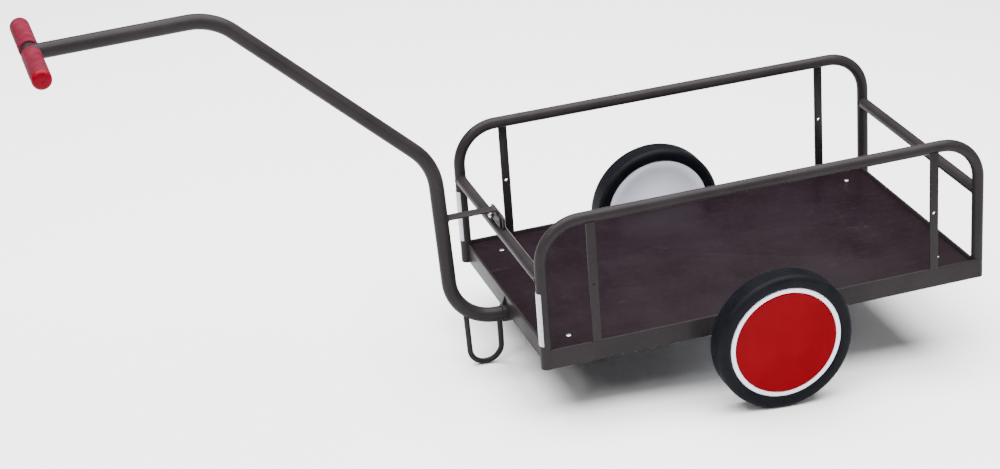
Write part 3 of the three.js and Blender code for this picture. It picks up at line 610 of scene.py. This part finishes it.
# %% Bent drawbar tube
HANDLE_X = -905
HANDLE_Z = 759.7
drawbar = bend_along("drawbar tube", [
    (49.5, 0, BAR_Z),
    (-115.6, 0, BAR_Z, 101),
    (-129.7, 0, 371.7, 131),
    (-547.7, 0, 767.2, 125),
    (HANDLE_X + 4, 0, HANDLE_Z),
], radius=DRAWBAR, wall=2.5, sides=48)
place(smooth(drawbar), "drawbar", "drawbar_tube")

# %% Brace with its foot
BRACE_Z = 244.5
strap = bend_along("brace", [
    (-122, 0, BRACE_Z),
    (-4.8, 0, BRACE_Z, 8),
    (-4.8, 0, BRACE_Z - 30),
], flat=(25, 4))
ease_edges(strap, 0.8, angle=50)
foot = block("brace foot", (-6.8, -31, BRACE_Z - 32), (-2.9, 31, BRACE_Z - 10), ease=0)
for y in (-STUD_Y, STUD_Y):
    drill(foot, (-5, y, STUD_Z), "X", 3.3)
ease_edges(foot, 0.7, angle=40)
smooth(strap)
smooth(foot)
place(strap, "drawbar", "brace")
place(foot, "drawbar")
for z, name in ((BRACE_Z - 3, "under"), (BRACE_Z + 3, "over")):
    place(bead(f"brace weld {name}", (-111, -11.5, z), (-111, 11.5, z), 1.7), "drawbar")

# %% Stand loop
loop = bend_along("stand loop", [
    (-88.5, 0, 25),
    (-84.5, 0, -107.5, 33),
    (-14.5, 0, -107.5, 35),
    (-14.5, 0, BAR_Z),
], radius=6, sides=32)
place(smooth(loop), "drawbar", "stand_loop")
for x, z, name in ((-88.2, 12, "front"), (-14.5, BAR_Z - DRAWBAR, "rear")):
    bpy.ops.mesh.primitive_torus_add(
        major_segments=40, minor_segments=8, major_radius=6.4 * MM, minor_radius=1.5 * MM,
        location=(x * MM, 0, z * MM))
    ring = new_piece(f"loop weld {name}")
    bpy.ops.object.transform_apply(location=True)
    open_piece(ring)
    bpy.ops.transform.vertex_random(offset=0.3 * MM, seed=5)
    place(smooth(close_piece(ring), 60), "drawbar")

# %% [markdown]
# ## T-handle
#
# A tube crosses the drawbar's end, coped and welded, with a plastic grip pushed
# on from each side. A grip is a plain sleeve with a rounded, glossier end and a
# small dimple where the mould was filled.

# %% T-bar and grips
T_BAR = 15  # radius
t_bar_ends = [(HANDLE_X, y, HANDLE_Z) for y in (-161, 161)]
t_bar = bend_along("t bar", t_bar_ends, radius=T_BAR, wall=2, sides=48)
place(smooth(t_bar), "drawbar", "t_bar")
ring = saddle_bead("handle ring", (0, T_BAR, 0), T_BAR, DRAWBAR, -1)
lie_along_x = Matrix(((0, 1, 0, 0), (0, 0, 1, 0), (1, 0, 0, 0), (0, 0, 0, 1)))
to_handle = Matrix.Translation(Vector((HANDLE_X, 0, HANDLE_Z)) * MM)
place(copy_of(ring, "handle weld", to_handle @ lie_along_x), "drawbar")
bpy.data.objects.remove(ring)

GRIP = 20  # radius
GRIP_END = 167.9
ROUND = 9
outline = [(15.2, -161.5), (15.2, -17), (18.6, -17), (19.6, -17.4), (GRIP, -18.4)]
for k in range(9):
    angle = radians(11.25 * k)
    outline.append((GRIP - ROUND + ROUND * cos(angle), -GRIP_END + ROUND - ROUND * sin(angle)))
outline += [(6, -GRIP_END - 0.4), (2, -GRIP_END - 0.5), (1.2, -GRIP_END), (0, -GRIP_END + 0.4)]
grip = turn_profile("grip left", outline, (HANDLE_X, 0, HANDLE_Z), axis="Y", sides=56)
smooth(grip, 50)
place(copy_of(grip, "grip right", ACROSS), "drawbar", "grip_right")
place(grip, "drawbar", "grip_left")

# %% [markdown]
# ## Wheels
#
# A wheel is a moulded rim in two flanges with a solid rubber tyre pressed
# between them, and a red cover pressed into its outer face. The tyre's tread has
# plain ribs that run right round. Rim and tyre are turned from their outlines,
# and their corners are rounded as a mould would leave them.

# %% Tyre, rim and cover
TYRE = 150
SHOULDER = 11  # rounding from tread to sidewall
half = 28.5
tread = []
for share in (0.48, 0.24, 0, -0.24, -0.48):
    y = share * half
    groove = [(TYRE, 1.3), (TYRE - 0.5, 0.9), (TYRE - 2, 0.4)]
    tread += [(r, y + reach) for r, reach in groove]
    tread += [(r, y - reach) for r, reach in reversed(groove)]
shoulder = [(123.6, 23.5), (124.4, 25.6), (126, 27.3), (128.5, 28.3), (132, 28.5)]
for k in range(9):
    angle = radians(11.25 * k)
    shoulder.append((TYRE - SHOULDER * (1 - sin(angle)), half - SHOULDER * (1 - cos(angle))))
tyre_outline = shoulder + tread + [(r, -y) for r, y in reversed(shoulder)]
tyre_outline += [(116, -19), (116, 19), shoulder[0]]
wheel = (484, -WHEEL_Y, -1)
tyre = turn_profile("tyre left", tyre_outline, wheel, sides=120)
smooth(tyre, 40)

rim_outline = [
    (16.3, 29), (24, 29), (26, 21), (60, 21.5), (98, 20.5), (105, 24.5), (121.4, 25), (123, 23.6),
    (123, 21), (115, 20), (115, -20), (123, -20), (123, -23.6), (121.6, -25), (113, -25), (112.3, -21),
    (109, -21), (109, 15), (100, 16), (26, 16.5), (24, -9), (16.3, -9), (16.3, 29),
]
rim = turn_profile("rim left", rim_outline, wheel, sides=120)
ease_edges(rim, 0.9, segments=2, angle=32)
smooth(rim, 40)

cover_outline = [
    (0, -21.6), (111.8, -21.6), (111.8, -25), (111, -25.7), (109.4, -25.8), (107.5, -25.2), (0, -25.2),
]
cover = turn_profile("wheel cover left", cover_outline, wheel, sides=120)
smooth(cover, 40)
for piece, node in ((tyre, "tyre"), (rim, "rim"), (cover, "wheel_cap")):
    name = piece.name.replace("left", "right")
    place(copy_of(piece, name, ACROSS), "wheel_right", f"{node}_right")
    place(piece, "wheel_left", f"{node}_left")
print("pieces finished:", len(finished))

# %% [markdown]
# ## Surfaces
#
# Every surface is worked out from the place on the piece, with layered noise.
# `Wire` stands for one output of a shader node. Arithmetic on wires adds maths
# nodes, and `make` adds any other node.

# %% Shader arithmetic
class Wire:
    def __init__(self, tree, socket=None):
        self.tree = tree
        self.socket = socket

    def make(self, kind, settings=None, sockets=None, out=0):
        node = self.tree.nodes.new("ShaderNode" + kind)
        for name, value in (settings or {}).items():
            setattr(node, name, value)
        for name, value in (sockets or {}).items():
            if isinstance(value, Wire):
                self.tree.links.new(value.socket, node.inputs[name])
            else:
                node.inputs[name].default_value = value
        return Wire(self.tree, node.outputs[out])

    def math(self, operation, first, second):
        return self.make("Math", {"operation": operation}, {0: first, 1: second})

    def __add__(self, other):
        return self.math("ADD", self, other)

    def __sub__(self, other):
        return self.math("SUBTRACT", self, other)

    def __rsub__(self, other):
        return self.math("SUBTRACT", other, self)

    def __mul__(self, other):
        return self.math("MULTIPLY", self, other)

    def __gt__(self, other):
        return self.math("GREATER_THAN", self, other)

    __radd__ = __add__
    __rmul__ = __mul__


def noise(spot, scale, detail=3, rough=0.5, stretch=None):
    if stretch:
        spot = spot.make("VectorMath", {"operation": "MULTIPLY"}, {0: spot, 1: stretch})
    return spot.make("TexNoise", {}, {"Vector": spot, "Scale": scale, "Detail": detail, "Roughness": rough})


def between(value, low, high, start, end):
    sockets = {"Value": value, "From Min": low, "From Max": high, "To Min": start, "To Max": end}
    return value.make("MapRange", {"clamp": True}, sockets)


def mix(share, first, second):
    return share.make("Mix", {"data_type": "RGBA"}, {0: share, 6: first, 7: second}, out=2)


def colour(red, green, blue):
    return (red, green, blue, 1)


# %% [markdown]
# `surface` makes one material. The constant settings go straight onto the
# shader, and the function it is given draws what varies: a base colour, a
# roughness and a height for the bump.

# %% One material at a time
def surface(name, draw, bump=0.1, depth=0.0002, **constants):
    material = bpy.data.materials.new(name)
    material.use_nodes = True
    tree = material.node_tree
    shader = tree.nodes["Principled BSDF"]
    for socket, value in constants.items():
        shader.inputs[socket.replace("_", " ")].default_value = value
    spot = Wire(tree).make("TexCoord", {}, {}, out=3)
    base, roughness, height = draw(spot)
    tree.links.new(base.socket, shader.inputs["Base Color"])
    tree.links.new(roughness.socket, shader.inputs["Roughness"])
    relief = spot.make("Bump", {}, {"Strength": bump, "Distance": depth, "Height": height})
    tree.links.new(relief.socket, shader.inputs["Normal"])
    return material


def draw_powder_coat(spot):
    peel = noise(spot, 520, 2)
    cloud = noise(spot, 9, 4)
    dust = between(noise(spot, 38, 6, 0.65), 0.56, 0.78, 0, 0.5)
    base = mix(between(cloud, 0.3, 0.7, 0, 1), colour(0.0150, 0.0128, 0.0133), colour(0.0205, 0.0175, 0.0182))
    base = mix(dust, base, colour(0.026, 0.023, 0.024))
    return base, between(cloud, 0.3, 0.7, 0.34, 0.44) + dust * 0.12, peel


def draw_plywood(spot):
    patches = noise(spot, 7, 5, 0.6)
    speckle = noise(spot, 90, 3)
    grain = noise(spot, 60, 4, 0.6, stretch=(0.08, 1, 1))
    scuff = between(noise(spot, 14, 6, 0.7, stretch=(1, 2.4, 1)), 0.6, 0.72, 0, 0.45)
    dark, light = colour(0.0056, 0.0028, 0.0044), colour(0.0096, 0.0054, 0.0078)
    base = mix(between(patches, 0.32, 0.68, 0, 1), dark, light)
    base = mix(between(speckle, 0.45, 0.75, 0, 0.5), base, colour(0.0120, 0.0078, 0.0104))
    base = mix(between(grain, 0.5, 0.75, 0, 0.35), base, colour(0.0042, 0.0024, 0.0035))
    base = mix(scuff, base, colour(0.022, 0.016, 0.020))
    return base, between(patches, 0.3, 0.7, 0.34, 0.46) + scuff * 0.2, grain + speckle * 0.4


def draw_zinc(spot):
    cloud = noise(spot, 160, 3)
    fine = noise(spot, 900, 2)
    base = mix(between(cloud, 0.3, 0.7, 0, 1), colour(0.55, 0.56, 0.58), colour(0.70, 0.70, 0.70))
    return base, between(cloud, 0.3, 0.7, 0.24, 0.38), fine


def draw_reflector(spot):
    cells = spot.make("TexVoronoi", {"feature": "DISTANCE_TO_EDGE"}, {"Vector": spot, "Scale": 420})
    cloud = noise(spot, 30, 3)
    wall = between(cells, 0.02, 0.10, 1, 0)
    base = mix(between(cloud, 0.3, 0.7, 0, 1), colour(0.35, 0.338, 0.392), colour(0.40, 0.388, 0.445))
    base = mix(wall * 0.5, base, colour(0.45, 0.43, 0.52))
    return base, between(cloud, 0.3, 0.7, 0.22, 0.32), wall


def draw_tyre(spot):
    cloud = noise(spot, 22, 5, 0.6)
    fine = noise(spot, 650, 3)
    dust = between(noise(spot, 60, 6, 0.7), 0.55, 0.8, 0, 0.45)
    base = mix(between(cloud, 0.3, 0.7, 0, 1), colour(0.0028, 0.0031, 0.0046), colour(0.0055, 0.0060, 0.0082))
    base = mix(dust, base, colour(0.013, 0.013, 0.016))
    return base, between(cloud, 0.3, 0.7, 0.48, 0.62), fine + cloud * 0.5


def draw_rim(spot):
    cloud = noise(spot, 18, 4)
    fine = noise(spot, 700, 2)
    base = mix(between(cloud, 0.3, 0.7, 0, 1), colour(0.78, 0.80, 0.92), colour(0.84, 0.85, 0.96))
    return base, between(cloud, 0.3, 0.7, 0.34, 0.42), fine


def draw_cover(spot):
    cloud = noise(spot, 12, 4)
    fine = noise(spot, 800, 2)
    base = mix(between(cloud, 0.3, 0.7, 0, 1), colour(0.132, 0.0002, 0.0030), colour(0.158, 0.0005, 0.0042))
    return base, between(cloud, 0.3, 0.7, 0.30, 0.38), fine


def draw_sleeve(spot):
    cloud = noise(spot, 40, 4)
    fine = noise(spot, 1100, 3)
    base = mix(between(cloud, 0.3, 0.7, 0, 1), colour(0.070, 0.0045, 0.0120), colour(0.112, 0.0130, 0.0250))
    return base, between(cloud, 0.3, 0.7, 0.52, 0.62), fine


def draw_grip_end(spot):
    cloud = noise(spot, 30, 3)
    fine = noise(spot, 600, 2)
    base = mix(between(cloud, 0.3, 0.7, 0, 1), colour(0.125, 0.0004, 0.0062), colour(0.155, 0.0008, 0.0085))
    return base, between(cloud, 0.3, 0.7, 0.22, 0.30), fine


def draw_nylon(spot):
    cloud = noise(spot, 80, 3)
    fine = noise(spot, 900, 2)
    base = mix(between(cloud, 0.3, 0.7, 0, 1), colour(0.58, 0.55, 0.47), colour(0.66, 0.63, 0.56))
    return base, between(cloud, 0.3, 0.7, 0.42, 0.5), fine


powder_coat = surface(
    "powder coat", draw_powder_coat, bump=0.22, depth=0.0002,
    Specular_IOR_Level=0.02, Coat_Weight=0.08, Coat_Roughness=0.2)
plywood = surface("film faced plywood", draw_plywood, bump=0.16, depth=0.0003, Specular_IOR_Level=0.05)
zinc = surface("bright zinc", draw_zinc, bump=0.12, depth=0.0001, Metallic=1.0)
reflective = surface("reflective film", draw_reflector, bump=0.3, depth=0.0002, Coat_Weight=0.4)
tyre_rubber = surface("tyre rubber", draw_tyre, bump=0.25, depth=0.0003, Specular_IOR_Level=0.05)
rim_plastic = surface("rim plastic", draw_rim, bump=0.06, depth=0.0001)
cover_plastic = surface("cover plastic", draw_cover, bump=0.08, depth=0.0001, Specular_IOR_Level=0.02)
sleeve_plastic = surface("grip sleeve", draw_sleeve, bump=0.2, depth=0.0002, Specular_IOR_Level=0.03)
end_plastic = surface("grip end", draw_grip_end, bump=0.05, depth=0.0001, Specular_IOR_Level=0.06)
nylon = surface("nylon", draw_nylon, bump=0.08, depth=0.0001)


# %% [markdown]
# ## Giving each piece its surface
#
# The first word that a piece's name contains decides its surface. The CAD pieces
# that are shown as they are, such as the axle and the cross members, get theirs
# in the same way.

# %% Paint everything
SURFACES = [
    ("clamp", powder_coat, "zinc_plated_steel"),
    ("screw", zinc, "zinc_plated_steel"),
    ("nut", zinc, "zinc_plated_steel"),
    ("stud", zinc, "zinc_plated_steel"),
    ("washer", zinc, "zinc_plated_steel"),
    ("clip", zinc, "zinc_plated_steel"),
    ("axle_bracket", powder_coat, "powder_coated_steel"),
    ("axle_spacer", powder_coat, "powder_coated_steel"),
    ("axle", zinc, "zinc_plated_steel"),
    ("reflector", reflective, "reflective_tape"),
    ("deck", plywood, "plywood"),
    ("tyre", tyre_rubber, "tyre_rubber"),
    ("rim", rim_plastic, "rim_plastic"),
    ("wheel-cover", cover_plastic, "red_cap_plastic"),
    ("grip", sleeve_plastic, "red_grip_plastic"),
    ("bush", nylon, "nylon"),
    ("", powder_coat, "powder_coated_steel"),
]


def paint(piece, name):
    for word, material, slot in SURFACES:
        if word in name:
            piece.data.materials.clear()
            piece.data.materials.append(material)
            return slot


for name, piece in finished.items():
    paint(piece, name)
for name, node in nodes.items():
    paint(node, name)
for side in ("left", "right"):
    grip = finished[f"grip-{side}"]
    grip.data.materials.append(end_plastic)
    for face in grip.data.polygons:
        if abs(face.center.y) > (GRIP_END - ROUND) * MM:
            face.material_index = 1

# %% [markdown]
# ## Floor, light and camera
#
# A pale floor and large soft lamps give the plain look of a catalogue picture.
# The camera stands well back with a long lens, above and to the left of the
# wagon's front corner.

# %% Floor and lamps
bpy.ops.mesh.primitive_plane_add(size=60, location=(0, 0, -0.0005))
floor = new_piece("floor")
floor_paint = bpy.data.materials.new("pale floor")
floor_paint.use_nodes = True
floor_paint.node_tree.nodes["Principled BSDF"].inputs["Base Color"].default_value = colour(0.92, 0.92, 0.92)
floor_paint.node_tree.nodes["Principled BSDF"].inputs["Roughness"].default_value = 0.9
floor.data.materials.append(floor_paint)

world = bpy.data.worlds.new("studio")
world.use_nodes = True
world.node_tree.nodes["Background"].inputs["Color"].default_value = colour(0.95, 0.97, 1.0)
world.node_tree.nodes["Background"].inputs["Strength"].default_value = 0.2
bpy.context.scene.world = world


def soft_lamp(name, place_m, target_m, size, watts):
    bpy.ops.object.light_add(type="AREA", location=place_m)
    lamp = bpy.context.active_object
    lamp.name = name
    lamp.data.shape = "RECTANGLE"
    lamp.data.size, lamp.data.size_y = size
    lamp.data.energy = watts
    towards = Vector(target_m) - Vector(place_m)
    lamp.rotation_euler = towards.to_track_quat("-Z", "Y").to_euler()
    return lamp


soft_lamp("overhead", (0, 0.3, 4.5), (0, 0.3, 0), (7, 6), 1550)
soft_lamp("left window", (-3.2, -2.6, 3.0), (0, 0, 0.3), (0.6, 0.6), 50)
soft_lamp("right fill", (3.2, -3.0, 2.4), (0.2, 0, 0.3), (2.0, 1.6), 40)

# %% Camera
YAW = 0.2781231634511886
PITCH = 0.4363875756405604
ROLL = -0.07754638101693369
EYE = Vector((-1248.70, -4391.50, 2313.28)) * MM
FOCAL_RATIO = 2.38036  # lens to sensor width
forward = Vector((sin(YAW) * cos(PITCH), cos(YAW) * cos(PITCH), -sin(PITCH)))
right = Vector((cos(YAW), -sin(YAW), 0))
upward = right.cross(forward)
across = right * cos(ROLL) + upward * sin(ROLL)
up = upward * cos(ROLL) - right * sin(ROLL)
stand = Matrix((across, up, -forward)).transposed().to_4x4()
stand.translation = EYE
camera_data = bpy.data.cameras.new("camera")
camera_data.sensor_width = 36
camera_data.lens = FOCAL_RATIO * camera_data.sensor_width
camera_data.shift_x = -0.0017
camera_data.shift_y = -0.0007
camera = bpy.data.objects.new("camera", camera_data)
bpy.context.collection.objects.link(camera)
camera.matrix_world = LEAN_IN @ stand
bpy.context.scene.camera = camera
print("camera at", [round(value, 3) for value in camera.matrix_world.translation])
